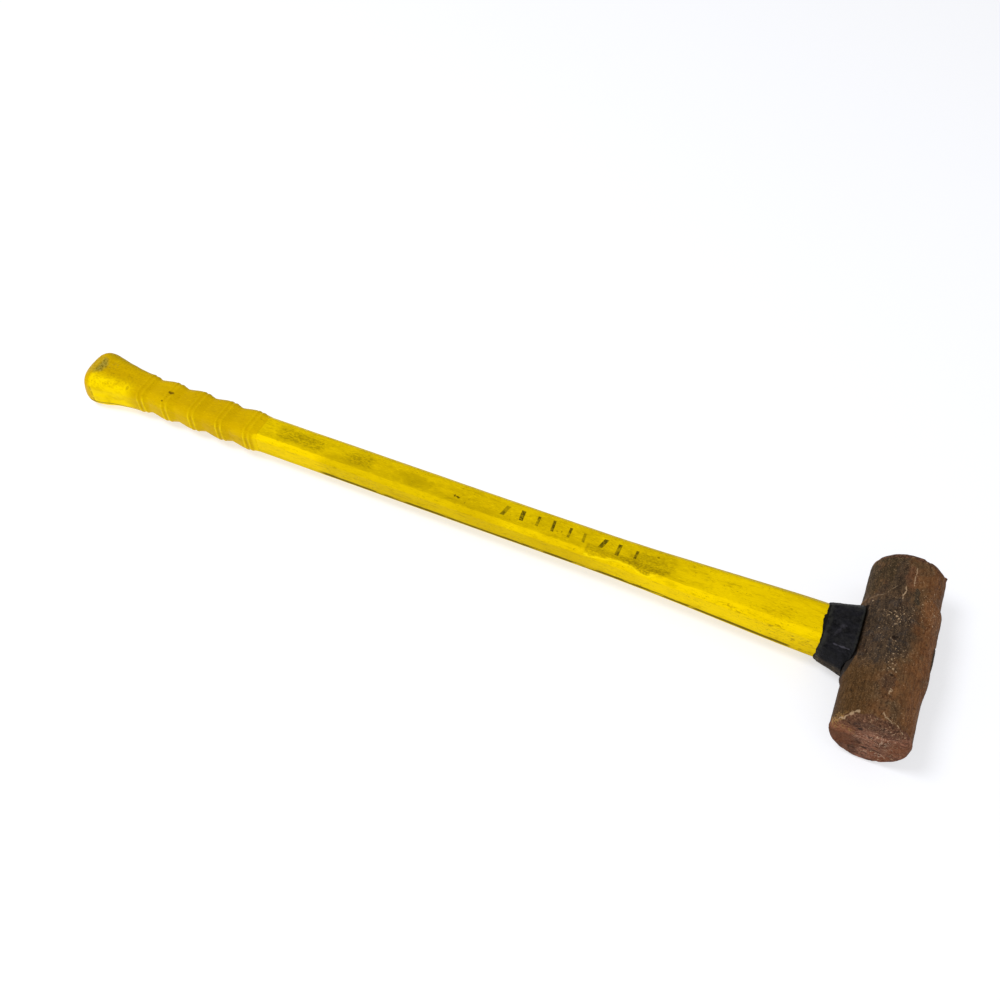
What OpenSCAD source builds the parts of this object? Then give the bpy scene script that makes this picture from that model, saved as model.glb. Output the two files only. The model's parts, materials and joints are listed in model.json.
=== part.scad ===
// Double-faced sledge hammer with a plastic-jacketed fibreglass handle, lying on its side.
// The head rests on one cheek and the handle on its flared butt, so the handle dips
// slightly towards the butt. +X runs along the handle towards the head, Y runs from strike
// face to strike face, and +Z is up. Every module draws in the hammer's own frame, with the
// head's centre at the origin and the handle along -X; lay_down() then puts it on the floor.

/* [Head] */
// Length of the head from strike face to strike face
head_length = 184.2; // [160:0.1:210]
// Distance between opposite flats of the soft octagonal head
head_across_flats = 66; // [62:0.1:72]
// How much further apart opposite corners of the head are than its flats
head_corner_swell = 0.8; // [0.4:0.1:4]
// Rounding radius of the edge around each strike face
face_edge_radius = 5.5; // [2:0.1:8]
// How far the pads around the eye stand out of the head's two sides
eye_pad_height = 1.8; // [0.5:0.1:4]
// Width of an eye pad's flat top, across the head
eye_pad_width = 17; // [10:0.5:24]
// How far an eye pad's shoulders stand out of the head's corners
eye_pad_shoulder = 1.3; // [0.5:0.1:2]
// Angle around the head, from the pad's middle, at which the pad fades into the cheek
eye_pad_fade = 68; // [60:1:80]
// Length of an eye pad's flat top along the head
eye_pad_top = 74; // [50:1:90]
// Length that each sloping end adds to an eye pad
eye_pad_ramp = 8; // [2:0.5:15]

/* [Eye] */
// Width of the eye at its waist, across the head
eye_waist_width = 25.4; // [24:0.1:30]
// Extra length of the eye along the head, over its width
eye_stretch = 9; // [4:0.5:16]
// How far the eye widens on each side from its waist to its mouths
eye_flare = 1.8; // [0.5:0.1:3]
// Thickness of the seal ring in the handle side of the eye
eye_seal_thickness = 5; // [2:0.5:10]
// How far the bond and the core end below the far mouth of the eye
eye_end_recess = 1; // [0.5:0.1:3]

/* [Handle] */
// Distance from the head's centre to the butt end of the handle
handle_reach = 870.4; // [700:0.1:1000]
// Diameter of the solid fibreglass core
core_d = 22; // [18:0.5:23]
// Share of the width that each corner facet cuts away
corner_cut = 0.32; // [0.25:0.01:0.36]
// Rounding radius between the jacket's facets
jacket_corner_radius = 3.4; // [1:0.1:5]
// Height of the handle's section as a share of its width
section_ratio = 0.87; // [0.84:0.01:1]
// Half width of the jacket's slim middle
jacket_half_width = 16.6; // [15.5:0.1:18]
// Half width of the jacket where it meets the head
jacket_head_half_width = 22.2; // [19:0.1:24]
// Distance from the head at which the jacket has thinned to its middle width
jacket_taper_end = 280; // [200:5:400]

/* [Collar] */
// Distance from the head's centre to the collar's handle edge
collar_reach = 62; // [50:0.5:90]
// Half width of the collar at its handle edge
collar_handle_half_width = 23.1; // [22.8:0.1:26]
// Half width of the collar at its blunt lip beside the head
collar_head_half_width = 29.8; // [26:0.1:33]
// Length of the collar's blunt lip beside the head
collar_lip = 2.5; // [1:0.5:6]
// How far the lip's upper and lower parts reach round the head's side
collar_lip_wrap = 3.8; // [0.5:0.1:8]
// Gap between the collar's lip and the head
collar_gap = 1; // [0.5:0.1:3]

/* [Grip] */
// Number of rings around the grip
ring_count = 5; // [3:1:6]
// Distance from one ring to the next
ring_pitch = 34.3; // [30:0.1:34.5]
// Length of a ring's short slope, on its head side
ring_short_slope = 14; // [8:0.5:16]
// Length of the flat land on each ring's crest
crest_land = 5; // [2:0.5:6]
// Half width of the grip in the valleys between the rings
valley_half_width = 16.5; // [15:0.1:17]
// Half width of the grip on the crests of the rings
crest_half_width = 18.9; // [17.5:0.1:21]
// Rounding radius between the grip's facets
grip_corner_radius = 7; // [3:0.1:8]
// Distance from the butt end to the crest of the last ring
last_crest_to_end = 68; // [62:0.5:100]
// Distance from the butt end to the waist where the flare starts
flare_start = 55; // [45:0.5:58]
// Half width of the flared butt
flare_half_width = 25.1; // [21:0.1:28]
// Height of the flared butt as a share of its width
flare_ratio = 0.83; // [0.75:0.01:1]
// Rounding radius of the butt end
butt_round = 13.5; // [6:0.5:16]
// Wall of the grip between the butt plug and the outside
butt_wall = 6; // [4:0.5:8]
// Length of the butt plug
butt_plug_length = 28; // [15:1:35]

/* [Hidden] */
eps = 0.01;
arc_steps = 3;

flat_reach = head_across_flats / 2;
corner_reach = flat_reach + head_corner_swell / 2;
half_head = head_length / 2;
pad_reach = flat_reach + eye_pad_height;
pad_half_width = eye_pad_width / 2;
pad_shoulder_reach = corner_reach + eye_pad_shoulder;

jacket_end = handle_reach - last_crest_to_end - (ring_count - 1) * ring_pitch
             - crest_land / 2 - ring_short_slope;
core_end = handle_reach - 10;
plug_start = core_end - butt_plug_length;
flare_middle = handle_reach - butt_round - 4;
flare_half_height = flare_half_width * flare_ratio;
butt_face_half_height = flare_half_height - butt_round;

// The head stands on the handle-side edge of its lower flat, and the flare on its widest part.
flat_half_length = sqrt(pow(corner_reach, 2) - pow(flat_reach, 2));
dip = atan((flat_reach - flare_half_height) / (handle_reach - butt_round - flat_half_length));
rest_height = flat_reach * cos(dip) + flat_half_length * sin(dip);
butt_side = handle_reach * cos(dip) + butt_face_half_height * sin(dip);
pad_side = pad_reach * cos(dip) + pad_half_width * sin(dip);
centre_shift = (butt_side - pad_side) / 2;

// A station is [distance from the head's centre, half width, half height].
function station(reach, width, ratio = section_ratio) = [reach, width, width * ratio];
function ease(t) = t * t * (3 - 2 * t);

// The jacket thins smoothly from the head to its slim middle, which runs on to the grip.
jacket_stations = concat(
    [
        for (t = [0:1/6:1])
            station(
                pad_reach + (jacket_taper_end - pad_reach) * t,
                jacket_head_half_width + (jacket_half_width - jacket_head_half_width) * ease(t)
            )
    ],
    [station(jacket_end, jacket_half_width)]
);

// The collar's lip is hollowed where the head's round side bulges into it.
clear_of_head = pad_reach + collar_gap;
collar_start = clear_of_head - collar_lip_wrap;
collar_stations = [
    station(collar_start, collar_head_half_width),
    station(clear_of_head, collar_head_half_width),
    station(clear_of_head + collar_lip, collar_head_half_width - 0.3),
    station(collar_reach - 1, collar_handle_half_width),
    station(collar_reach, collar_handle_half_width - 0.6)
];
collar_bore_stations = concat(
    [station(collar_start - 1, jacket_head_half_width)],
    jacket_stations
);

// Each ring rises steeply on its head side, carries a land, and falls slowly to the butt.
function ring_crest(i) = jacket_end + ring_short_slope + crest_land / 2 + i * ring_pitch;
ring_stations = [
    for (i = [0:ring_count - 1], part = [0:3])
        part == 0 ? station(ring_crest(i) - crest_land / 2 - ring_short_slope, valley_half_width)
        : part == 1 ? station(ring_crest(i) - crest_land / 2 - ring_short_slope / 3,
                              crest_half_width - 0.4)
        : part == 2 ? station(ring_crest(i) - crest_land / 2, crest_half_width)
        : station(ring_crest(i) + crest_land / 2, crest_half_width)
];
butt_stations = [
    for (a = [0:15:90])
        [
            handle_reach - butt_round * (1 - sin(a)),
            flare_half_width - butt_round * (1 - cos(a)),
            flare_half_height - butt_round * (1 - cos(a))
        ]
];
grip_stations = concat(
    ring_stations,
    [
        station(handle_reach - flare_start, crest_half_width + 0.7),
        station(handle_reach - flare_start + 16, crest_half_width + 2.7),
        station(flare_middle - 12, flare_half_width - 1.5, flare_ratio + 0.02),
        station(flare_middle, flare_half_width, flare_ratio)
    ],
    butt_stations
);
plug_stations = [
    station(plug_start, core_d / 2 + 2.5, 1),
    station(core_end - 8, flare_half_width - butt_wall, flare_ratio),
    station(core_end, flare_half_width - butt_wall - 3, flare_ratio)
];

// Rounded octagon of half width w and half height h, as points [y, z]
function section(w, h, radius) =
    let (
        cut_y = w * corner_cut,
        cut_z = h * corner_cut,
        slope = atan2(cut_y, cut_z),
        y0 = w - radius,
        z0 = h - cut_z - radius * tan(slope / 2),
        y1 = w - cut_y - radius * tan(45 - slope / 2),
        z1 = h - radius,
        centres = [[y0, z0], [y1, z1], [-y1, z1], [-y0, z0],
                   [-y0, -z0], [-y1, -z1], [y1, -z1], [y0, -z0]],
        normals = [0, slope, 90, 180 - slope, 180, 180 + slope, 270, 360 - slope, 360]
    )
    [
        for (i = [0:7], k = [0:arc_steps])
            let (a = normals[i] + (normals[i + 1] - normals[i]) * k / arc_steps)
            centres[i] + radius * [cos(a), sin(a)]
    ];

// Solid skinned over the handle's section at each station, running towards the butt
module loft(stations, radius) {
    last = len(stations) - 1;
    count = 8 * (arc_steps + 1);
    points = [for (s = stations, p = section(s[1], s[2], radius)) [-s[0], p[0], p[1]]];
    sides = [
        for (i = [0:last - 1], k = [0:count - 1])
            let (a = i * count + k, b = i * count + (k + 1) % count)
            [a, b, b + count, a + count]
    ];
    head_cap = [for (k = [count - 1:-1:0]) k];
    butt_cap = [for (k = [0:count - 1]) last * count + k];
    polyhedron(points = points, faces = concat(sides, [head_cap, butt_cap]), convexity = 4);
}

module lay_down() {
    translate([centre_shift, 0, rest_height]) rotate([0, -dip, 0]) children();
}

// Bar along Y with the head's soft octagonal section and rounded ends
module head_blank() {
    end_arc = [
        for (a = [0:15:90])
            [corner_reach - face_edge_radius * (1 - cos(a)),
             half_head - face_edge_radius * (1 - sin(a))]
    ];
    near_end = [for (i = [len(end_arc) - 1:-1:0]) [end_arc[i][0], -end_arc[i][1]]];
    intersection() {
        rotate([90, 0, 0]) rotate([0, 0, 22.5])
            cylinder(r = flat_reach / cos(22.5), h = head_length, center = true, $fn = 8);
        rotate([90, 0, 0]) rotate_extrude($fn = 96)
            polygon(concat([[0, -half_head]], near_end, end_arc, [[0, half_head]]));
    }
}

// Raised pad around the eye on the +X side of the head, with sloping ends
module eye_pad() {
    half_top = eye_pad_top / 2;
    half_base = half_top + eye_pad_ramp;
    upper_edge = [
        [pad_reach, pad_half_width],
        pad_shoulder_reach * [cos(45), sin(45)],
        corner_reach * [cos(eye_pad_fade), sin(eye_pad_fade)]
    ];
    lower_edge = [for (i = [2:-1:0]) [upper_edge[i][0], -upper_edge[i][1]]];
    intersection() {
        rotate([90, 0, 0]) linear_extrude(height = 2 * half_base, center = true)
            polygon(concat([[0, 0]], lower_edge, upper_edge));
        linear_extrude(height = 3 * pad_reach, center = true) polygon([
            [0, -half_base],
            [flat_reach, -half_base],
            [pad_reach + eps, -half_top],
            [pad_reach + eps, half_top],
            [flat_reach, half_base],
            [0, half_base]
        ]);
    }
}

// One half of the eye, from its waist at x = 0 out to the mouth in the +X pad
module eye_half() {
    waist = eye_waist_width / 2;
    mouth = waist + eye_flare;
    for (side = [-1, 1])
        translate([0, side * eye_stretch / 2, 0]) rotate([0, 90, 0])
            cylinder(r1 = waist, r2 = mouth, h = pad_reach, $fn = 64);
    rotate([90, 0, 0]) linear_extrude(height = eye_stretch, center = true) polygon([
        [0, -waist], [pad_reach, -mouth], [pad_reach, mouth], [0, waist]
    ]);
}

module eye() {
    eye_half();
    mirror([1, 0, 0]) eye_half();
}

// Slice of the eye's hollow from one distance along X to another
module eye_slice(from_x, to_x) {
    intersection() {
        eye();
        translate([from_x, -half_head, -flat_reach])
            cube([to_x - from_x, head_length, head_across_flats]);
    }
}

// The core's full round, from the far mouth of the eye to the butt
module core_round() {
    translate([-core_end, 0, 0]) rotate([0, 90, 0])
        cylinder(d = core_d, h = core_end + pad_reach - eye_end_recess, $fn = 64);
}

module hammer_head() {
    color("#4a3526") lay_down() difference() {
        union() {
            head_blank();
            eye_pad();
            mirror([1, 0, 0]) eye_pad();
        }
        eye();
    }
}

// Cast epoxy between the core and the eye's wall, beyond the seal ring
module eye_bond() {
    color("#2b2622") lay_down() difference() {
        eye_slice(eye_seal_thickness - pad_reach, pad_reach - eye_end_recess);
        core_round();
    }
}

// Soft ring that closes the handle side of the eye while the bond sets
module eye_seal() {
    color("#59595b") lay_down() difference() {
        eye_slice(-pad_reach, eye_seal_thickness - pad_reach);
        core_round();
    }
}

module handle_core() {
    color("#c9b46a") lay_down() core_round();
}

module handle_jacket() {
    color("#d8b60c") lay_down() difference() {
        loft(jacket_stations, jacket_corner_radius);
        core_round();
    }
}

// Rubber overstrike collar around the jacket's head end, hollowed where the head bulges
module collar() {
    color("#26262a") lay_down() difference() {
        loft(collar_stations, jacket_corner_radius);
        loft(collar_bore_stations, jacket_corner_radius);
        rotate([90, 0, 0]) cylinder(r = clear_of_head, h = head_length, center = true, $fn = 96);
    }
}

module grip_sleeve() {
    color("#cfa812") lay_down() difference() {
        loft(grip_stations, grip_corner_radius);
        loft(plug_stations, grip_corner_radius);
        core_round();
    }
}

// Hard flared end on the core that fills out the grip's butt
module butt_plug() {
    color("#8a8a84") lay_down() difference() {
        loft(plug_stations, grip_corner_radius);
        core_round();
    }
}

hammer_head();
eye_bond();
eye_seal();
handle_core();
handle_jacket();
collar();
grip_sleeve();
butt_plug();
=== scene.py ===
"""Looks of a used double-faced sledge hammer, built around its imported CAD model.

Lengths are in millimetres in the hammer's own frame: the head's centre is the origin, the
handle runs along -X, the strike faces look along -Y and +Y, and +Z points at the upper
cheek. place() turns them into metres in the row's frame, where the hammer lies on the floor.
Angles round the head run from +X, the eye's far side, over +Z to -X, the handle side.
"""
import json
import math
import random
from functools import partial, reduce

import bpy
import numpy as np
from mathutils import Matrix, Vector, noise


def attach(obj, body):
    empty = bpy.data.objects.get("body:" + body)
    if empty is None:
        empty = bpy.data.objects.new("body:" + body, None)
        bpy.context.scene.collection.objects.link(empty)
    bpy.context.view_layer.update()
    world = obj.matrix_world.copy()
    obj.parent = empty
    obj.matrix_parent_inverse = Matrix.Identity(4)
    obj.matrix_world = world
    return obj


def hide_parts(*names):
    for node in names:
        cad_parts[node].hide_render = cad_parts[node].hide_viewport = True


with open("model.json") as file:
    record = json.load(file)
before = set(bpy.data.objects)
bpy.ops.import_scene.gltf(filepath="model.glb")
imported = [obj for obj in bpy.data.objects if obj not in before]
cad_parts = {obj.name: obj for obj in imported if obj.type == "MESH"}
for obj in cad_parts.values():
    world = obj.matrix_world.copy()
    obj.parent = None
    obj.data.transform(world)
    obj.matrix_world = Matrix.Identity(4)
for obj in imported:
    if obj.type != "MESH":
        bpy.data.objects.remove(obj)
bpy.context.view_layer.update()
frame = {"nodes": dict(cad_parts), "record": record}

MM = 0.001
SHARP_ANGLE = math.radians(40)      # edges sharper than this stay sharp when shaded

# ---- driving dimensions
HEAD_FLAT = 33.0            # reach of the head's eight soft flats from its axis
HEAD_ROUND = 33.4           # reach of the rounded corners between them
HALF_HEAD = 92.1            # from the head's centre to a strike face
FACE_EDGE = 5.5             # rounding radius round a strike face
PAD_REACH = 34.8            # reach of the flat tops of the pads round the eye
PAD_HALF_WIDTH = 8.5
PAD_SHOULDER = 34.7
PAD_FADE = 68               # degrees from a pad's middle to where it fades into the cheek
# A pad's end along +Y and the length over which it rises there, then the same along -Y.
FAR_PAD = (54, 6, 47, 25)
HANDLE_PAD = (45, 8, 46, 9)
EYE_WAIST = 12.7            # radius of the eye's rounded ends in its middle
EYE_MOUTH = 14.5            # and at both mouths
EYE_STRETCH = 4.5           # from the eye's axis to the centres of its rounded ends
EYE_RECESS = 1.0            # the bond and the core end this far below the far mouth
HEAD_COLUMNS = 256
EYE_COLUMNS = 96
SEAL_THICKNESS = 5.0
CORE_RADIUS = 11.0
FACE_SINK = 0.35            # the faces stay this far inside the head's full length
SIDE_DENTS = 70
FACE_DENTS = 60
BURR_ANGLE = 27             # of the burr that stands out beside the far strike face
BURR_REACH = 2.8
BURR_HEIGHT = 2.6

HANDLE_REACH = 870.4        # from the head's centre to the butt end
JACKET_END = 648.7
JACKET_HEAD_WIDTH = 22.2    # all widths of the handle are half widths
JACKET_WIDTH = 16.6
JACKET_TAPER_END = 280.0
JACKET_CORNER = 2.2
CORNER_CUT = 0.32           # share of the half width and half height cut off at a corner
SECTION_RATIO = 0.87        # height of the section as a share of its width
COLLAR_LIP = 35.8           # reach of the collar's lip where the head bulges into it
LIP_WRAP = 4.2              # how far the lip's upper and lower parts reach round the head
COLLAR_REACH = 62.0
COLLAR_HEAD_WIDTH = 29.8
COLLAR_HANDLE_WIDTH = 23.1
COLLAR_CORNER = 9.0
JACKET_COLUMNS, COLLAR_COLUMNS, GRIP_COLUMNS = 144, 192, 160
JACKET_DENTS = 90
PRINT_BARS = 9              # worn bars on the top flat
PRINT_START = -373.0
PRINT_PITCH = 16.6
WORN_PATCHES = ((-629, -573, 23), (-549, -517, 24))     # start and end along X, noise seed
RUB_FAR = 286.0             # the rubbed stretch of the near upper edge, from the head's centre
RUB_NEAR = 204.0
# Height of its lower border along X, as a share of the jacket's half height.
RUB_BORDER = [(-284, 0.77), (-249, 0.95), (-227, 0.80), (-205, 1.0)]

FIRST_CREST = 665.2         # from the head's centre to the crest of the nearest ring
RING_PITCH = 34.3
RING_COUNT = 5
VALLEY_WIDTH = 16.5
CREST_WIDTH = 18.9
GRIP_CORNER = 11.5
BEAD_OFFSET = 5.0           # from a ring's crest to the middle of its pair of beads
BEAD_SPREAD = 3             # from the middle of the pair to either bead
BEAD_REACH = 1.9
BEAD_HEIGHT = 0.42
GROOVE_REACH = 1.6          # the groove between the two beads
GROOVE_DEPTH = 0.3
FLARE_START, FLARE_END = 820, 853
FLARE_WIDTH = 25.7
FLARE_RATIO = 0.81          # height of the flare as a share of its width
BUTT_ROUND = 13.5
BUTT_WALL = 6.0
CORE_END = HANDLE_REACH - 10
PLUG_START = CORE_END - 28
BUTT_SLANT_START = 838      # from here the butt is slanted and worn
BUTT_SLANT_FADE = 20
BUTT_SLANT = 0.08           # how far the butt end's near, upper side reaches out, per mm
BUTT_WEAR = 4.5             # how far the butt end's near, upper corner is worn back

FLOOR_COLOUR = (0.54, 0.55, 0.59)
FLOOR_GLOW = 0.505
WORLD_GLOW = 0.45

# ---- the hammer's frame
mounts = {m["name"]: Vector(m["pos_m"]) for m in frame["record"]["mounts"]}
HEAD_CENTRE = (mounts["strike_face_front"] + mounts["strike_face_back"]) / 2
along = HEAD_CENTRE - mounts["hand_grip"]
DIP = math.atan2(along.z, along.x)
LAY_DOWN = Matrix.Translation(HEAD_CENTRE) @ Matrix.Rotation(-DIP, 4, "Y")


def place(points):
    """Points of the hammer's frame, in millimetres, as metres in the row's frame.

    A point that would sink into the floor is pressed flat on it."""
    turn = np.array(LAY_DOWN.to_3x3())
    placed = (np.asarray(points, float) * MM) @ turn.T + np.array(HEAD_CENTRE)
    placed[:, 2] = np.maximum(placed[:, 2], 0)
    return placed


# ---- shape helpers
def ease(t):
    t = np.clip(t, 0, 1)
    return t * t * (3 - 2 * t)


def bump(distance, reach):
    """1 at distance 0, falling smoothly to 0 at the given reach."""
    return 1 - ease(np.abs(distance) / reach)


def dent(points, centre, size, stretch=(1, 1, 1)):
    """1 at the centre of a round or stretched dent, falling smoothly to 0 at its size."""
    away = np.linalg.norm((points - np.array(centre)) / np.array(stretch), axis=1)
    return bump(away, size)


def around(count):
    """Angles of a closed ring's columns."""
    return np.linspace(0, 2 * np.pi, count, endpoint=False)


def curve(value, places):
    """A smooth line through several (value, height) places."""
    total = places[0][1]
    for (a, low), (b, high) in zip(places, places[1:]):
        total = total + (high - low) * ease((value - a) / (b - a))
    return total


def rough_field(points, size, seed=0.0, octaves=4):
    """Fractal noise of about -1 to 1 at each point, with features of the given size."""
    shift = Vector((seed * 17.3, seed * 5.1, seed * 9.7))
    return np.array([
        noise.fractal(Vector(p) / size + shift, 0.9, 2.0, octaves) for p in points
    ])


def bumpy(points, *layers):
    """Layers of fractal noise, each given as (height, size of its features, seed)."""
    return sum(height * rough_field(points, size, seed) for height, size, seed in layers)


def section_points(width, height, radius, angles):
    """Reach of a rounded octagon at each polar angle, measured from +Y towards +Z."""
    cut_y, cut_z = width * CORNER_CUT, height * CORNER_CUT
    slope = math.atan2(cut_y, cut_z)
    y0, z1 = width - radius, height - radius
    z0 = height - cut_z - radius * math.tan(slope / 2)
    y1 = width - cut_y - radius * math.tan(math.pi / 4 - slope / 2)
    arcs = [(y0, z0, 0, slope), (y1, z1, slope, math.pi / 2)]
    quarter = []
    for centre_y, centre_z, start, end in arcs:
        for a in np.linspace(start, end, 9):
            quarter.append((centre_y + radius * math.cos(a), centre_z + radius * math.sin(a)))
    quarter = [(width, 0.0)] + quarter + [(0.0, height)]
    turned = np.abs(np.angle(np.exp(1j * angles)))
    folded = np.where(turned > np.pi / 2, np.pi - turned, turned)
    corner_angle = [math.atan2(z, y) for y, z in quarter]
    fine = np.linspace(0, np.pi / 2, 721)
    edges = np.array(quarter)
    reach = np.empty_like(fine)
    for i, a in enumerate(fine):
        k = min(max(int(np.searchsorted(corner_angle, a)), 1), len(quarter) - 1)
        p, q = edges[k - 1], edges[k]
        d = q - p
        along_ray = np.array([math.cos(a), math.sin(a)])
        cross = along_ray[0] * d[1] - along_ray[1] * d[0]
        reach[i] = (p[0] * d[1] - p[1] * d[0]) / cross if abs(cross) > 1e-9 else np.hypot(*p)
    return np.interp(folded, fine, reach)


def grid_faces(rows, columns, start=0, flip=False):
    """Quads of a tube of rings, each ring a closed row of columns."""
    faces = []
    for i in range(rows - 1):
        for k in range(columns):
            a = start + i * columns + k
            b = start + i * columns + (k + 1) % columns
            quad = (a, b, b + columns, a + columns)
            faces.append(quad[::-1] if flip else quad)
    return faces


def join_rings(first, second, columns, flip=False):
    """Quads between two rings of the same mesh, given their first vertices."""
    faces = []
    for k in range(columns):
        n = (k + 1) % columns
        quad = (first + k, first + n, second + n, second + k)
        faces.append(quad[::-1] if flip else quad)
    return faces


def make_piece(name, points, faces, material):
    mesh = bpy.data.meshes.new(name)
    mesh.from_pydata([tuple(p) for p in place(points)], [], faces)
    mesh.validate()
    mesh.polygons.foreach_set("use_smooth", [True] * len(mesh.polygons))
    mesh.set_sharp_from_angle(angle=SHARP_ANGLE)
    mesh.materials.append(material)
    piece = bpy.data.objects.new(name, mesh)
    bpy.context.scene.collection.objects.link(piece)
    return piece


# ---- material helpers
NOISE_SHIFT = (31.7, 13.3, 7.9)     # how far one step of a seed moves a texture
CELL_SHIFT = (11.7, 23.3, 5.9)


class Shader:
    """Short calls for building one material. Vectors are millimetres in the hammer's frame."""

    def __init__(self, name, roughness=0.5, specular=0.3, tint=(1.0, 1.0, 1.0), ior=1.5):
        self.material = bpy.data.materials.new(name)
        self.material.use_nodes = True
        self.tree = self.material.node_tree
        self.noises = {}
        self.surface = self.tree.nodes["Principled BSDF"]
        self.surface.inputs["Roughness"].default_value = roughness
        self.surface.inputs["Specular IOR Level"].default_value = specular
        self.surface.inputs["IOR"].default_value = ior
        self.surface.inputs["Specular Tint"].default_value = (*tint, 1.0)
        back = LAY_DOWN.inverted()
        here = self.node("TexCoord", {}).outputs["Object"]
        to_hammer = {"Vector": here, "Scale": (1 / MM,) * 3, "Rotation": back.to_euler(),
                     "Location": back.to_translation() / MM}
        self.spot = self.node("Mapping", to_hammer, vector_type="POINT").outputs["Vector"]
        self.x, self.y, self.z = self.node("SeparateXYZ", {0: self.spot}).outputs
        turn = self.math("ARCTAN2", self.z, self.x)
        unrolled_spot = {0: self.times(turn, HEAD_ROUND), 1: self.y}
        self.wrapped = self.node("CombineXYZ", unrolled_spot).outputs[0]

    def put(self, value, socket):
        """Links a socket, or sets a number or a colour."""
        if isinstance(value, bpy.types.NodeSocket):
            self.tree.links.new(value, socket)
        elif isinstance(value, (int, float)):
            socket.default_value = value
        else:
            size = len(socket.default_value)
            socket.default_value = tuple(value) + (1.0,) * (size - len(value))

    def node(self, kind, inputs, **settings):
        """A new node with its settings made and its inputs linked or set."""
        node = self.tree.nodes.new("ShaderNode" + kind)
        for name, setting in settings.items():
            setattr(node, name, setting)
        for key, value in inputs.items():
            self.put(value, node.inputs[key])
        return node

    def math(self, operation, a, b=0.0, clamp=False):
        node = self.node("Math", {0: a, 1: b}, operation=operation, use_clamp=clamp)
        return node.outputs[0]

    def add(self, a, b):
        return self.math("ADD", a, b)

    def size_of(self, a):
        return self.math("ABSOLUTE", a)

    def less(self, a, b):
        return self.math("SUBTRACT", a, b)

    def gap(self, a, b):
        """How far two values are apart."""
        return self.size_of(self.less(a, b))

    def sway(self, value, amount):
        """Turns a noise of 0 to 1 into one that swings half the amount to either side of 0."""
        return self.times(self.less(value, 0.5), amount)

    def times(self, *values):
        return reduce(partial(self.math, "MULTIPLY"), values)

    def most(self, *values):
        return reduce(partial(self.math, "MAXIMUM"), values)

    def vector(self, operation, a, b=(0, 0, 0)):
        second = "Scale" if operation == "SCALE" else 1
        node = self.node("VectorMath", {0: a, second: b}, operation=operation)
        return node.outputs["Value" if operation in ("LENGTH", "DOT_PRODUCT") else "Vector"]

    def step(self, value, low, high, to_low=0.0, to_high=1.0):
        """value's place between low and high, smoothed and clamped."""
        inputs = {"Value": value, "From Min": low, "From Max": high,
                  "To Min": to_low, "To Max": to_high}
        return self.node("MapRange", inputs, interpolation_type="SMOOTHSTEP").outputs["Result"]

    def curve(self, value, places):
        """The same smooth line as curve() draws."""
        total = places[0][1]
        for (a, low), (b, high) in zip(places, places[1:]):
            total = self.add(self.step(value, a, b, 0.0, high - low), total)
        return total

    def stretched(self, stretch, seed, shift):
        """The place squeezed along each stretched axis and moved by the seed."""
        at = self.vector("MULTIPLY", self.spot, tuple(1 / s for s in stretch))
        return self.vector("ADD", at, tuple(seed * s for s in shift))

    def noise(self, size, detail=4.0, stretch=(1, 1, 1), seed=0.0, roughness=0.55):
        """Noise of 0 to 1 with features of the given size, longer along each stretched axis."""
        kind = (size, detail, stretch, seed, roughness)
        if kind not in self.noises:
            at = self.stretched(stretch, seed, NOISE_SHIFT)
            inputs = {"Vector": at, "Scale": 1 / size, "Detail": detail, "Roughness": roughness}
            self.noises[kind] = self.node("TexNoise", inputs).outputs["Fac"]
        return self.noises[kind]

    def cells(self, size, stretch=(1, 1, 1), seed=0.0):
        """Distance to scattered points about one size apart, in sizes."""
        inputs = {"Vector": self.stretched(stretch, seed, CELL_SHIFT), "Scale": 1 / size}
        return self.node("TexVoronoi", inputs).outputs["Distance"]

    def mix(self, factor, a, b):
        inputs = {"Factor": factor, "A": a, "B": b}
        return self.node("Mix", inputs, data_type="RGBA").outputs["Result"]

    def shade(self, share, first, second):
        """A mix of two colours that are given as 0 to 255 screen values."""
        return self.mix(share, srgb(*first), srgb(*second))

    def paint(self, paint, *shares):
        """Lays paint over the colour so far, as strongly as the product of the shares says.

        The paint is a socket, or a colour given as 0 to 255 screen values."""
        if isinstance(paint, tuple):
            paint = srgb(*paint)
        self.colour = self.mix(self.times(*shares), self.colour, paint)

    def crooked(self, at, amount, size):
        """The same place moved about by up to the amount given, so that lines bend."""
        inputs = {"Vector": self.spot, "Scale": 1 / size, "Detail": 2.0}
        drift = self.node("TexNoise", inputs).outputs["Color"]
        push = self.vector("SUBTRACT", drift, (0.5, 0.5, 0.5))
        return self.vector("ADD", at, self.vector("SCALE", push, 4 * amount))

    def curls(self, size, width, seed):
        """Thin curling lines, along which a noise passes its middle value."""
        from_middle = self.gap(self.noise(size, 2, seed=seed), 0.5)
        return self.step(from_middle, width, width * 0.3)

    def spots(self, size, low, high, seed=0.0, stretch=(1, 1, 1), detail=3.0):
        """Scattered spots: 1 where a noise has risen, or fallen, from low past high."""
        return self.step(self.noise(size, detail, stretch, seed), low, high)

    def blob(self, centre, radii, ragged=0.25, size=6.0, on=None):
        """1 inside an ellipsoid, fading to 0 over a ragged border."""
        at = self.vector("SUBTRACT", on or self.spot, centre)
        at = self.vector("DIVIDE", at, radii)
        distance = self.vector("LENGTH", at)
        distance = self.add(distance, self.sway(self.noise(size, 4.0, seed=1), ragged * 4))
        return self.step(distance, 1.1, 0.65)

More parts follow.
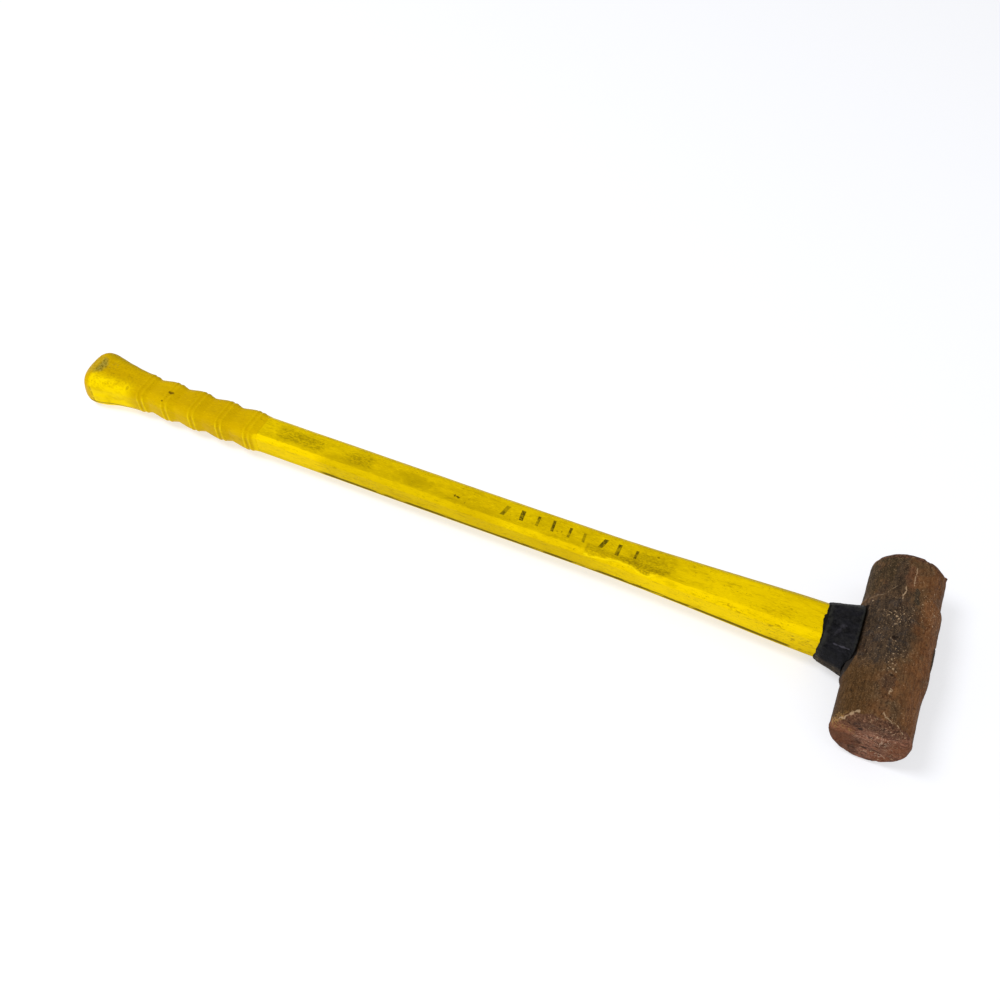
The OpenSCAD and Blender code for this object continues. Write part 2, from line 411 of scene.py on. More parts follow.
    def stroke(self, start, end, width, size=3.0, on=None):
        """1 on the line from start to end, with a broken, ragged outline."""
        start, end = Vector(start), Vector(end)
        span = end - start
        at = self.vector("SUBTRACT", on or self.spot, tuple(start))
        share = self.vector("DOT_PRODUCT", at, tuple(span / span.length_squared))
        share = self.math("ADD", share, 0.0, clamp=True)
        nearest = self.vector("SCALE", tuple(span), share)
        distance = self.vector("LENGTH", self.vector("SUBTRACT", at, nearest))
        distance = self.add(distance, self.sway(self.noise(size, 3.0, seed=2), width * 3))
        return self.step(distance, width, width * 0.3)

    def path(self, places, width, on=None):
        """1 along a line through several places."""
        legs = [self.stroke(a, b, width, on=on) for a, b in zip(places, places[1:])]
        return self.most(*legs)

    def relief(self, height, strength=0.5, distance=0.4):
        """Bumps the surface by a height of 0 to 1 that stands for the distance given, in mm."""
        inputs = {"Strength": strength, "Distance": distance * MM, "Height": height}
        self.put(self.node("Bump", inputs).outputs["Normal"], self.surface.inputs["Normal"])

    def finish(self, roughness=None):
        self.put(self.colour, self.surface.inputs["Base Color"])
        if roughness is not None:
            self.put(roughness, self.surface.inputs["Roughness"])
        return self.material


def srgb(red, green, blue):
    """A colour given as 0 to 255 screen values, made linear."""
    return tuple(
        c / 255 / 12.92 if c <= 10 else ((c / 255 + 0.055) / 1.055) ** 2.4
        for c in (red, green, blue)
    )


def on_head(y, angle, reach=HEAD_ROUND):
    """The point of the head's side at a place along it and an angle round it."""
    turn = math.radians(angle)
    return (reach * math.cos(turn), y, reach * math.sin(turn))


def unrolled(y, angle):
    """The same place on the head's side rolled out flat, as Shader.wrapped gives it."""
    return (math.radians(angle) * HEAD_ROUND, y, 0.0)


# ---- materials
def forged_steel():
    s = Shader("forged_steel", specular=0.05, tint=(1.0, 0.74, 0.5))
    side = s.wrapped

    def patch(y, angle, around, along, ragged=0.25, size=6.0):
        """A ragged patch with its middle at a place on the head's side."""
        return s.blob(unrolled(y, angle), (around, along, 1), ragged, size, side)

    bent = s.crooked(side, 1.0, 5)

    def scratch(width, *places):
        """A crooked scratch through places (along the head, angle) on its side."""
        return s.path([unrolled(y, angle) for y, angle in places], width, bent)

    grit = s.noise(1.1, 4.0, seed=1)
    grain = s.noise(2.4, 6.0, (1, 2.4, 1), 2, 0.6)
    fibre = s.noise(2.0, 4.0, (1, 7, 1), 3)
    mottle = s.noise(8.0, 6.0, (1, 1.5, 1), 4, 0.6)
    broad = s.noise(24.0, 4.0, seed=5)

    def shades(dark, light):
        return s.shade(s.step(grain, 0.32, 0.68), dark, light)

    rust = shades((98, 58, 32), (130, 86, 50))
    s.colour = shades((76, 56, 37), (104, 77, 51))
    s.paint(rust, s.step(broad, 0.46, 0.6), 0.6)
    right = s.times(s.step(s.x, 6, 22), s.step(mottle, 0.2, 0.55))
    s.paint(rust, right, 0.9)
    far_left = s.times(s.step(s.x, 0, -18), s.step(s.y, 24, 60), s.step(mottle, 0.3, 0.5))
    s.paint(shades((44, 37, 26), (66, 55, 38)), far_left, 0.9)
    near_left = s.times(s.step(s.x, -2, -18), s.step(s.y, -26, -46))
    s.paint(shades((62, 42, 20), (86, 60, 33)), near_left, 0.85)

    cheek = patch(6, 116, 32, 46, 0.2, 12)
    band = patch(62, 107, 7, 34, 0.4)
    corner = patch(44, 124, 12, 14, 0.4)
    keel = patch(-74, 78, 10, 12, 0.5)
    under = s.step(s.z, -8, -26)
    dark = s.most(s.times(cheek, 0.9), s.times(band, 0.75), s.times(corner, 0.6),
                  s.times(keel, 0.2), s.times(under, 0.6))
    s.paint(shades((37, 32, 28), (68, 57, 47)), dark)
    bluish = s.times(cheek, s.spots(7, 0.5, 0.62, 9, detail=4), 0.5)
    s.paint((56, 53, 52), bluish)
    plum = patch(-50, 92, 7, 9, 0.4)
    s.paint(shades((58, 38, 32), (82, 58, 48)), plum, 0.6)
    red = patch(64, 92, 6, 16, 0.4)
    s.paint(shades((82, 50, 34), (118, 80, 58)), red, 0.6)
    shaded = s.most(patch(48, 104, 11, 14, 0.4), patch(-52, 97, 8, 22, 0.5))
    s.paint(shades((48, 38, 29), (74, 58, 42)), shaded, 0.35)
    orange = s.most(s.times(patch(38, 44, 15, 11, 0.4), 0.8),
                    s.times(patch(-62, 34, 14, 30, 0.5), 0.7),
                    s.times(patch(0, 38, 9, 34, 0.5), 0.6))
    s.paint(shades((108, 66, 38), (142, 96, 60)), orange)
    slot = s.stroke(unrolled(52, 82), unrolled(38, 77), 3.4, 5, side)
    s.paint(shades((42, 38, 31), (62, 55, 44)), slot, 0.9)

    # The strike faces are redder, with a dark upper edge and bright spots where scale has broken.
    ragged_end = s.add(s.size_of(s.y), s.sway(mottle, 9))
    end = s.step(ragged_end, HALF_HEAD - 7.5, HALF_HEAD - 5.0)
    patches = s.noise(5, 6, (1.5, 1, 0.8), 12, 0.6)
    body = s.colour
    s.colour = s.shade(s.step(patches, 0.36, 0.62), (80, 48, 38), (142, 96, 76))
    burnt = s.most(s.times(s.spots(8, 0.52, 0.62, 13, (1.4, 1, 1), 4), 0.6),
                   s.blob((-19, -92, -12), (11, 9, 7), 0.4, 5),
                   s.blob((13, -92, -18), (9, 9, 8), 0.4, 5))
    s.paint(shades((120, 62, 38), (156, 94, 62)), burnt, 0.7)
    upper_face = s.step(s.less(s.z, s.times(s.x, 0.25)), 10, 24)
    s.paint(shades((58, 38, 30), (90, 62, 46)), upper_face, 0.85)
    face_lines = s.noise(1.5, 4, (1.8, 1, 1), 14, 0.6)
    s.paint((50, 28, 22), s.step(face_lines, 0.46, 0.36), 0.6)
    s.paint((180, 134, 108), s.step(face_lines, 0.55, 0.66), 0.45)
    curled = s.most(s.blob((8, -92, 9), (15, 9, 8), 0.4, 5),
                    s.blob((14, -92, 2), (11, 9, 8), 0.4, 5),
                    s.blob((8, -92, -16), (9, 9, 6), 0.4, 5),
                    s.times(s.blob((-6, -92, 4), (12, 9, 9), 0.5, 5), 0.5))
    s.paint((206, 172, 146), s.curls(4.6, 0.035, 18), s.spots(2.0, 0.4, 0.5, 19), curled, 0.8)
    face, s.colour = s.colour, body
    s.paint(face, end, 0.95)
    rim = s.times(s.step(s.z, -14, -4), s.step(s.z, 18, 8), s.step(s.size_of(s.x), 10, 20))
    s.paint(shades((112, 64, 40), (148, 92, 62)), end, rim, 0.65)
    tan = patch(-87, 158, 11, 5, 0.5, 4)
    s.paint((84, 62, 30), tan, 0.5)
    s.paint((160, 124, 76), tan, s.spots(1.8, 0.47, 0.56, 24), 0.8)

    # Pale and dark lines run along the head, under finer grit, pits and pale flecks.
    lines = s.step(fibre, 0.32, 0.68, -0.5, 0.5)
    rows = s.less(1.0, s.times(end, 0.6))
    s.paint((126, 98, 70), s.most(lines, 0.0), rows, 0.3)
    s.paint((40, 30, 22), s.most(s.times(lines, -1), 0.0), rows, 0.5)
    s.paint((34, 25, 19), s.step(grit, 0.46, 0.34), 0.45)
    s.paint((138, 110, 80), s.step(grit, 0.54, 0.68), 0.4)
    pits = s.spots(2.6, 0.35, 0.29, 15)
    s.paint((30, 21, 16), pits, 0.7)
    flecks = s.most(s.spots(1.7, 0.62, 0.68, 16, detail=2), s.spots(1.0, 0.66, 0.72, 17, detail=2))
    crowded = s.most(patch(18, 100, 13, 12, 0.4), patch(-28, 94, 7, 20, 0.4),
                     patch(40, 54, 18, 20, 0.4), s.times(s.spots(18, 0.44, 0.58, 21), 0.6),
                     s.times(end, s.spots(9, 0.46, 0.56, 22)),
                     s.times(s.blob((9, -92, 14), (13, 9, 13), 0.4, 5), 0.6))
    smooth = s.less(1.0, s.times(near_left, 0.9))
    s.paint((190, 160, 126), flecks, crowded, smooth, 0.7)

    # Bright chips and scratches, each at its own place round the head.
    chips = [
        patch(y, angle, size, size * 0.8, 0.5, 1.5)
        for y, angle, size in (
            (18, 101, 1.3), (16, 98, 0.8), (38, 44, 1.2), (-21, 94, 0.9), (-27, 95, 0.8),
            (-31, 92, 0.8), (-37, 97, 0.7), (-36, 90, 1.1), (-38, 85, 0.7), (-8, 95, 0.8),
            (3, 122, 0.8), (34, 142, 1.0), (-43, 92, 0.7), (60, 50, 1.0))
    ]
    marks = s.most(
        scratch(1.7, (-84, 122), (-87, 134)),
        scratch(1.0, (-87, 134), (-89, 144), (-89, 152)),
        scratch(0.6, (-79, 89), (-84, 86), (-85, 78), (-86, 66), (-89, 54), (-89, 44)),
        scratch(0.55, (76, 88), (64, 89), (52, 86)),
        scratch(0.55, (54, 98), (46, 98), (36, 99)),
        scratch(1.0, (-56, 87), (-61, 87)),
        s.times(scratch(0.6, (37, 160), (41, 128), (52, 110)), 0.5),
        *chips,
    )
    s.paint((184, 156, 124), marks, 0.65)
    holes = s.most(patch(-4.5, 99, 1.6, 1.8, 0.1, 3), patch(-42.5, 90, 1.9, 1.6, 0.1, 3),
                   s.blob((-11, -92, 15), (2.4, 5, 2.0), 0.2, 3),
                   s.blob((-1, -92, -11), (3.2, 5, 1.6), 0.2, 3))
    s.paint((24, 15, 12), holes, 0.8)

    # Both flanks are painted darker towards the bottom, and a painted shadow fills the wedge between the
    # collar and the head.
    right_flank = s.times(s.step(s.x, 0, 10), s.step(s.z, 15, 8))
    left_flank = s.times(s.step(s.x, 0, -10), s.step(s.z, 4, -3))
    lower_flanks = s.most(s.times(right_flank, 0.3), s.times(left_flank, 0.5))
    s.paint((54, 37, 25), lower_flanks)
    # Painted shadow: near black in the wedge, grey like the collar lower down.
    past_lip = s.times(s.math("MINIMUM", s.add(s.y, 24), 0.0), -0.24)
    edge = s.add(s.x, s.add(past_lip, s.sway(s.noise(3, 3, seed=23), 1.6)))
    wedge_shadow = s.times(s.step(edge, -28.8, -29.8), s.step(s.gap(s.y, -5), 36, 34))
    s.paint(s.shade(s.step(s.y, -16, -26), (12, 9, 8), (42, 40, 40)), wedge_shadow, 0.92)
    height = s.add(s.add(s.times(grit, 0.4), s.times(mottle, 0.6)), s.times(grain, 0.5))
    height = s.less(height, s.times(s.most(pits, holes), 0.7))
    s.relief(height, 0.8, 0.7)
    return s.finish(s.step(mottle, 0.3, 0.7, 0.55, 0.8))


def handle_yellow(s, clean, handled, soil_amount, top, marks):
    """Yellow moulding with dirt rubbed into its upper side and scuffs along the handle.

    marks is how strongly the scuffs show, from 0 to 1."""
    broad = s.noise(34, 4, (2.5, 1, 1), 1)
    fine = s.noise(1.3, 5, (3, 1, 1), 2)
    streak = s.noise(2.0, 5, (8, 1, 1), 3)
    s.colour = s.shade(s.step(broad, 0.38, 0.62), clean, handled)
    soil = s.times(top, s.step(s.noise(9, 6, (2.5, 1, 1), 4), 0.3, 0.7, 0.45, 1.0), soil_amount)
    s.paint((168, 142, 2), soil)
    cloud = s.step(s.noise(4.5, 6, (2.5, 1, 1), 5, 0.65), 0.5, 0.7)
    s.paint((172, 142, 2), cloud, 0.5 * marks)
    s.paint((142, 114, 4), s.step(streak, 0.56, 0.7), 0.5 * marks)
    gathered = s.spots(13, 0.44, 0.6, 7, (2, 1, 1))
    spread = s.step(gathered, 0, 1, 0.25, 0.6)
    s.paint((150, 122, 4), s.step(fine, 0.54, 0.7), spread, marks)
    s.paint((255, 228, 8), s.step(fine, 0.44, 0.32), 0.5 * marks)
    specks = s.times(s.most(s.spots(1.6, 0.63, 0.7, 6, (1.6, 1, 1)),
                            s.spots(1.1, 0.66, 0.72, 10, (0.8, 1.6, 1.6))), gathered)
    s.paint((92, 70, 8), specks, 0.85 * marks)
    scratches = s.times(s.spots(0.9, 0.64, 0.7, 11, (7, 1, 1)),
                        s.spots(22, 0.5, 0.62, 12, (2, 1, 1)))
    s.paint((104, 80, 6), scratches, 0.6 * marks)
    # Darker towards the far side.
    s.paint((158, 138, 4), s.step(s.y, 10, 18), 0.4)
    height = s.add(s.times(fine, 0.5), s.times(streak, 0.3))
    height = s.less(height, s.times(s.most(specks, scratches), 0.5))
    s.relief(height, 0.45, 0.25)
    return s.step(s.noise(6, 4, (3, 1, 1), 8), 0.3, 0.7, 0.34, 0.52)


def jacket_plastic():
    s = Shader("jacket_plastic", specular=0.1, tint=(1.0, 0.8, 0.02), ior=1.2)
    height = s.step(s.x, -JACKET_TAPER_END, -PAD_REACH,
                    JACKET_WIDTH * SECTION_RATIO, JACKET_HEAD_WIDTH * SECTION_RATIO)
    level = s.math("DIVIDE", s.z, height)
    top = s.step(level, 0.93, 0.975)
    soil_amount = s.step(s.x, -210, -150, 0.55, 0.2)
    rough = handle_yellow(s, (243, 208, 1), (232, 196, 1), soil_amount, top, 0.65)
    unworn = s.times(s.step(s.x, -560, -585), s.step(level, 0.96, 0.9))
    s.paint((252, 217, 1), unworn, 0.2)
    # Painted highlight: a bright band along the near upper edge, in patches.
    ridge_highlight = s.times(s.step(level, 0.78, 0.86), s.step(level, 0.96, 0.91), s.step(s.y, 0, -5),
                    s.spots(7, 0.36, 0.56, 20, (4, 1, 1), 4))
    s.paint((252, 216, 4), ridge_highlight, 0.25)

    # Painted shade: the near side is darkened along the middle of the handle, with most of its upper part
    # spared nearer the head.
    upper_side_spared = s.times(s.step(level, 0.5, 0.72), s.step(s.x, -400, -350, 0.0, 0.75))
    near_side_shade = s.times(s.step(s.x, -580, -560), s.step(s.x, -200, -320), s.step(s.y, -4, -10),
                   s.less(1.0, upper_side_spared))
    s.paint((168, 140, 4), near_side_shade, 0.36)

    # A row of plain worn bars, then two plain worn patches.
    worn_ink = s.step(s.noise(0.9, 3, seed=21), 0.28, 0.52, 0.35, 1.0)
    faded = s.step(s.noise(14, 2, seed=22), 0.35, 0.6, 0.5, 1.0)
    draw = random.Random(5)
    bars = []
    for i in range(PRINT_BARS):
        middle = PRINT_START + i * PRINT_PITCH + draw.uniform(-1.5, 1.5)
        lean = s.times(s.y, draw.uniform(-0.1, 0.35))
        from_bar = s.gap(s.less(s.x, middle), lean)
        from_middle = s.size_of(s.add(s.y, draw.uniform(-1.0, 1.0)))
        half, reach = draw.uniform(1.2, 2.2), draw.uniform(4.6, 6.8)
        bars.append(s.times(s.step(from_bar, half + 0.35, half - 0.35),
                            s.step(from_middle, reach + 0.3, reach - 0.3)))
    s.paint((60, 53, 10), s.most(*bars), worn_ink, faded, top, 0.95)
    for start, end, seed in WORN_PATCHES:
        along = s.times(s.step(s.x, start - 5, start + 7), s.step(s.x, end + 5, end - 7))
        across = s.step(s.gap(s.y, -1), 10, 4.5)
        rows = s.spots(1.7, 0.42, 0.62, seed, (2.2, 1, 1), 4)
        patch = s.times(along, across, top)
        s.paint((112, 92, 4), patch, s.add(s.times(rows, 0.4), 0.15))
    s.paint((150, 124, 2), s.blob((-473, -2, 14.4), (24, 8, 3), 0.3, 6), top, 0.35)

    # The near upper edge is rubbed down towards the head: dark above a wavy border.
    wave = s.sway(s.noise(5, 4, (2, 1, 1), 25), 0.22)
    border = s.add(s.curve(s.x, RUB_BORDER), wave)
    over = s.less(level, border)
    span = s.times(s.step(s.x, -RUB_FAR - 1, -RUB_FAR + 1), s.step(s.x, 2 - RUB_NEAR, -RUB_NEAR),
                   s.step(s.y, -3, -7))
    crumbs = s.step(s.noise(1.5, 5, (1.5, 1, 1), 26), 0.38, 0.62, 0.35, 0.85)
    low_end = s.step(s.x, -262, -240, 0.6, 1.0)
    rubbed = s.times(span, s.step(over, -0.02, 0.03), crumbs, low_end)
    spread = s.times(s.blob((-224, -4, 15), (24, 11, 9), 0.3, 6), crumbs, 0.6)
    s.paint((132, 108, 6), s.most(s.times(rubbed, s.step(s.y, 0, -6), 0.9), spread))
    # Painted highlight: a bright line on the raised border just below the rubbed stretch.
    lip = s.times(s.step(over, -0.09, -0.05), s.step(over, 0.0, -0.03), s.step(s.x, -214, -220))
    s.paint((255, 228, 16), span, lip, 0.5)
    spots = s.most(
        s.stroke((-426, -3.5, 14.4), (-421, -4.5, 14.4), 1.5, 2),
        s.times(s.blob((-219, 5.5, 15.5), (1.4, 1.2, 3), 0.1, 3), 0.7),
        s.times(s.path([(-296, -14.5, 11), (-293, -12, 13)], 0.8), 0.5),
    )
    s.paint((66, 52, 8), spots, 0.9)
    grubby = s.times(s.most(
        s.blob((-76, -20, 4), (13, 12, 6), 0.5, 4), s.blob((-98, -18, 11), (9, 9, 4), 0.5, 4),
        s.blob((-70, -20, -10), (9, 12, 4), 0.5, 4), s.blob((-140, -16, 12), (12, 9, 3), 0.5, 4),
    ), s.spots(2.4, 0.46, 0.66, 28, (2, 1, 1)))
    s.paint((140, 104, 10), grubby, 0.6)

    drift = s.sway(s.noise(16, 3, (4, 1, 1), 29), 0.22)
    seam_level = s.add(level, drift)
    seam = s.times(s.step(level, -0.62, -0.56), s.step(seam_level, -0.37, -0.43),
                   s.step(s.y, -6, -10), s.step(s.x, -580, -566), s.step(s.x, -80, -86))
    broken = s.spots(4, 0.34, 0.44, 30, (6, 1, 1), 4)
    s.paint((50, 43, 12), seam, broken, 0.95)
    # Darker towards the bottom of the near side.
    low = s.times(s.step(level, -0.1, -0.6), s.step(s.y, 0, -8))
    s.paint((168, 140, 4), low, 0.3)
    return s.finish(rough)


def grip_rubber():
    s = Shader("grip_rubber", specular=0.1, tint=(1.0, 0.8, 0.02), ior=1.2)
    top = s.step(s.z, 8, 13)
    rough = handle_yellow(s, (213, 175, 1), (202, 163, 1), 0.08, top, 0.35)
    s.paint((246, 212, 1), s.step(s.x, -655, -651), s.step(s.z, 14, 12.6), 0.7)
    # Painted light: the near, lower side of the flared butt is painted brighter, in patches.
    from_near = s.add(s.y, s.times(s.z, 0.8))
    flare_light = s.times(s.step(s.x, -797, -818), s.step(s.x, -860, -852), s.step(from_near, 12, -2),
                    s.step(s.noise(6, 4, (1.6, 1, 1), 30), 0.3, 0.55, 0.55, 1.0))
    s.paint((255, 222, 1), flare_light, 0.85)
    flank = s.step(s.z, 13.5, 9)
    beads, grooves = [], []
    for centre in bead_centres():
        from_centre = s.size_of(s.add(s.x, centre))
        beads.append(s.step(s.gap(from_centre, BEAD_SPREAD), 1.5, 0.4))
        grooves.append(s.step(from_centre, 1.5, 0.4))
    patchy = s.step(s.noise(3.5, 4, seed=31), 0.34, 0.6, 0.3, 1.0)
    s.paint((158, 126, 2), s.most(*grooves), flank, 0.2)
    # Painted highlight: the pairs of beads are painted brighter, more on the sides than on top.
    s.paint((255, 226, 8), s.most(*beads), s.step(s.z, 14.5, 9, 0.1, 0.5), patchy)
    nick = s.most(
        s.blob((-762.5, -1.2, 16.5), (3.8, 2.0, 4), 0.12, 3),
        s.blob((-766, -14, 13.5), (1.5, 1.3, 3), 0.15, 3),
        s.times(s.blob((-811, -13.8, 15.4), (1.8, 2.4, 3), 0.3, 3), 0.4),
    )
    s.paint((104, 76, 8), nick, 0.85)
    scuff = s.most(
        s.blob((-859, 0, 19), (13, 14, 14), 0.12, 4),
        s.times(s.blob((-842, 5, 20), (6, 6, 5), 0.5, 3), s.spots(1.8, 0.52, 0.62, 32), 0.6),
    )
    scuffed = s.shade(s.spots(2.0, 0.36, 0.6, 34, detail=5), (94, 84, 18), (172, 154, 62))
    s.paint(scuffed, scuff, 0.88)
    rim = s.times(s.step(s.gap(s.x, -854), 1.8, 0.4), s.spots(6, 0.36, 0.52, 36),
                  s.step(s.z, 15, 9))
    s.paint((214, 172, 1), s.step(s.x, -854, -858), 0.6)
    s.paint((150, 116, 4), rim, 0.6)
    drift = s.sway(s.noise(10, 3, (4, 1, 1), 37), 3)
    seam_height = s.size_of(s.add(s.add(s.z, 10.6), drift))
    seam = s.times(s.step(seam_height, 1.3, 0.5), s.step(s.y, -8, -14), s.step(s.x, -796, -806))
    s.paint((112, 84, 6), seam, 0.75)
    mould = s.times(s.step(s.z, 9, 17), s.step(s.x, -796, -812), s.spots(2.6, 0.46, 0.62, 38))
    s.paint((150, 116, 6), mould, 0.25)
    return s.finish(rough)


def collar_rubber():
    s = Shader("collar_rubber", specular=0.04)
    cloud = s.noise(7, 5, seed=1)
    grit = s.noise(1.3, 4, seed=8)
    s.colour = s.shade(s.step(cloud, 0.35, 0.65), (12, 12, 14), (26, 26, 30))
    s.paint((50, 49, 53), s.step(grit, 0.5, 0.68), 0.3)
    s.paint((6, 6, 7), s.step(grit, 0.46, 0.32), 0.5)
    dust = s.times(s.step(s.z, 14, 24), s.spots(3, 0.4, 0.65, 2, (2, 1, 1), 5))
    s.paint((58, 57, 56), dust, 0.2)
    low = s.times(s.step(s.z, -3, -11), s.spots(4, 0.3, 0.55, 3, detail=4))
    s.paint((68, 58, 46), low, 0.85)
    dusty = s.noise(3, 3, (1, 2, 2), 4)
    edges = s.most(
        s.times(s.step(s.x, -54.5, -58), 0.8),
        s.times(s.step(s.y, 14, 22), s.step(s.z, 8, 16)),
        s.times(s.step(s.x, -35, -32.5), 0.6),
    )
    s.paint((56, 56, 50), edges, s.step(dusty, 0.35, 0.6), 0.6)
    # Painted shade: a near-black band along the collar's ragged end, where it meets the jacket.
    s.paint((14, 13, 8), s.step(s.x, -59.6, -60.6), 0.8)
    scrape = s.times(s.stroke((-50, -22.5, 19), (-36.5, -24.4, 21.5), 0.85, 4), 0.65)
    smudge = s.times(s.stroke((-46, -4, 24), (-52, -17, 22), 2.6, 6), s.step(cloud, 0.3, 0.6), 0.3)
    s.paint((104, 100, 112), s.most(scrape, smudge), 0.45)
    creases = s.times(s.spots(1.4, 0.58, 0.66, 9, (4, 1, 1)), s.step(s.z, -2, -9))
    s.paint((112, 100, 82), creases, 0.6)
    s.relief(s.add(s.noise(1.2, 5, seed=7), cloud), 0.6, 0.4)
    return s.finish(s.step(cloud, 0.3, 0.7, 0.42, 0.62))


def cast_bond():
    s = Shader("bond", specular=0.4)
    cloud = s.noise(4, 5, seed=1)
    s.colour = s.shade(cloud, (36, 30, 25), (66, 54, 40))
    dust = s.spots(2.5, 0.5, 0.7, 2, detail=5)
    s.paint((104, 76, 52), dust, 0.7)
    bubbles = s.step(s.cells(2.6, seed=3), 0.2, 0.1)
    s.relief(s.less(cloud, bubbles), 0.6, 0.4)
    return s.finish(s.step(cloud, 0.3, 0.7, 0.3, 0.6))


def sawn_fibreglass():
    s = Shader("fibreglass", specular=0.3)
    strands = s.cells(0.9, (8, 1, 1), 1)
    s.colour = s.shade(s.step(strands, 0.15, 0.5), (190, 168, 108), (142, 118, 66))
    stain = s.spots(5, 0.42, 0.66, 2, detail=5)
    s.paint((90, 62, 40), stain, 0.8)
    saw = s.noise(0.7, 2, (1, 1, 14), 3)
    s.relief(s.add(strands, saw), 0.5, 0.2)
    return s.finish(s.step(strands, 0.1, 0.6, 0.45, 0.7))


def plain_rubber(name, dark, light):
    s = Shader(name, specular=0.3)
    cloud = s.noise(5, 5, seed=1)
    s.relief(s.noise(1, 5, seed=2), 0.4, 0.2)
    s.colour = s.shade(cloud, dark, light)
    return s.finish(s.step(cloud, 0.3, 0.7, 0.5, 0.7))


def studio_floor():
    """White paper lit a little from below, so that shadows stay pale."""
    s = Shader("floor", roughness=0.9, specular=0.0)
    s.surface.inputs["Emission Color"].default_value = (1, 1, 1, 1)
    s.surface.inputs["Emission Strength"].default_value = FLOOR_GLOW
    paler = tuple(c * 1.01 for c in FLOOR_COLOUR)
    s.colour = s.mix(s.noise(400, 2), FLOOR_COLOUR, paler)
    return s.finish()


# ---- hammer head
def head_reach(angle):
    """Reach of the head's side from its axis, pads included. Angles are in radians."""
    turn = np.mod(angle + np.pi / 8, np.pi / 4) - np.pi / 8
    body = np.minimum(HEAD_FLAT / np.cos(turn), HEAD_ROUND)
    from_pad = np.abs(np.angle(np.exp(1j * angle)))
    far_side = from_pad < np.pi / 2
    from_pad = np.where(far_side, from_pad, np.pi - from_pad)
    fade = math.radians(PAD_FADE)
    corner = math.atan2(PAD_HALF_WIDTH, PAD_REACH)
    marks = [corner, math.pi / 4, fade, math.pi / 2]
    reaches = [math.hypot(PAD_REACH, PAD_HALF_WIDTH), PAD_SHOULDER, HEAD_ROUND, HEAD_FLAT]
    flat = PAD_REACH / np.cos(np.minimum(from_pad, corner))
    pad = np.where(from_pad < corner, flat, np.interp(from_pad, marks, reaches))
    return body, pad, far_side


def pad_share(y, far_side):
    """How far the pad has risen at a place along the head: 0 on the neck, 1 beside the eye."""
    ends = np.where(far_side[:, None], FAR_PAD, HANDLE_PAD).T
    back_end, back_rise, front_end, front_rise = ends
    return ease((back_end - y) / back_rise) * ease((y + front_end) / front_rise)


def build_head(material):
    columns = HEAD_COLUMNS
    rings = []
    rim = HEAD_ROUND - FACE_EDGE
    for r in np.linspace(0.6, rim - 0.6, 22):
        rings.append((r, -HALF_HEAD, 0.0))
    for a in np.radians(np.linspace(0, 90, 9)):
        rings.append((rim + FACE_EDGE * math.sin(a), -HALF_HEAD + FACE_EDGE * (1 - math.cos(a)),
                      math.sin(a)))
    body = HALF_HEAD - FACE_EDGE
    for y in np.linspace(-body, body, 176)[1:-1]:
        rings.append((None, y, 1.0))
    near = [r for r in rings if r[1] < -body + 1e-6]
    rings += [(r, -y, side) for r, y, side in reversed(near)]
    angles = around(columns)
    points, outward = [], []
    body_reach, pad_reach, far_side = head_reach(angles)
    for r, y, side in rings:
        if r is None:
            share = pad_share(y, far_side)
            reach = body_reach + np.maximum(pad_reach - body_reach, 0) * share
        else:
            reach = r * body_reach / HEAD_ROUND
        level = math.copysign(math.sqrt(max(1 - side * side, 0)), y)
        for a, d in zip(angles, reach):
            points.append((d * math.cos(a), y, d * math.sin(a)))
            outward.append((side * math.cos(a), level, side * math.sin(a)))
    points, outward = np.array(points), np.array(outward)
    from_end = HALF_HEAD - np.abs(points[:, 1])
    reach = np.hypot(points[:, 0], points[:, 2])
    lift = bumpy(points, (0.30, 22, 1), (0.12, 5, 2), (0.06, 1.8, 3))
    worn = rough_field(points, 7, 4)
    lift += 0.5 * bump(from_end - 6.5, 5) * np.clip(worn + 0.35, 0, 1)
    lift -= 1.3 * bump(from_end - 1.5, 4.5) * np.clip(worn - 0.2, 0, 1) * (reach > 22)
    draw = random.Random(7)
    for _ in range(SIDE_DENTS):
        y = draw.uniform(-86, 86)
        a = draw.uniform(0, 2 * math.pi)
        size = draw.uniform(1.2, 4.0)
        depth = draw.uniform(0.1, 0.35)
        lift -= depth * dent(points, on_head(y, math.degrees(a)), size)
    for _ in range(FACE_DENTS):
        face = draw.choice((-1, 1))
        a, r = draw.uniform(0, 2 * math.pi), 27 * math.sqrt(draw.random())
        size, depth = draw.uniform(1.5, 5.0), draw.uniform(0.15, 0.6)
        centre = (r * math.cos(a), face * HALF_HEAD, r * math.sin(a))
        lift -= depth * dent(points, centre, size)
    lift[from_end < 0.3] -= FACE_SINK
    lift += BURR_HEIGHT * dent(points, on_head(HALF_HEAD - 3.0, BURR_ANGLE), BURR_REACH)
    points = points + outward * lift[:, None]
    faces = grid_faces(len(rings), columns)
    last = len(points)
    first_centre = points[:columns].mean(axis=0)
    last_centre = points[-columns:].mean(axis=0)
    points = np.vstack([points, first_centre, last_centre])
    faces += [((k + 1) % columns, k, last) for k in range(columns)]
    start = (len(rings) - 1) * columns
    faces += [(start + k, start + (k + 1) % columns, last + 1) for k in range(columns)]
    return make_piece("forged_head", points, faces, material)


def eye_ring(x, count, grow=0.0):
    """Points of the eye's stretched round outline at a distance along X."""
    radius = EYE_WAIST + (EYE_MOUTH - EYE_WAIST) * abs(x) / PAD_REACH + grow
    ring = []
    for a in around(count):
        side = math.copysign(EYE_STRETCH, math.cos(a)) if abs(math.cos(a)) > 1e-9 else 0
        ring.append((x, side + radius * math.cos(a), radius * math.sin(a)))
    return ring


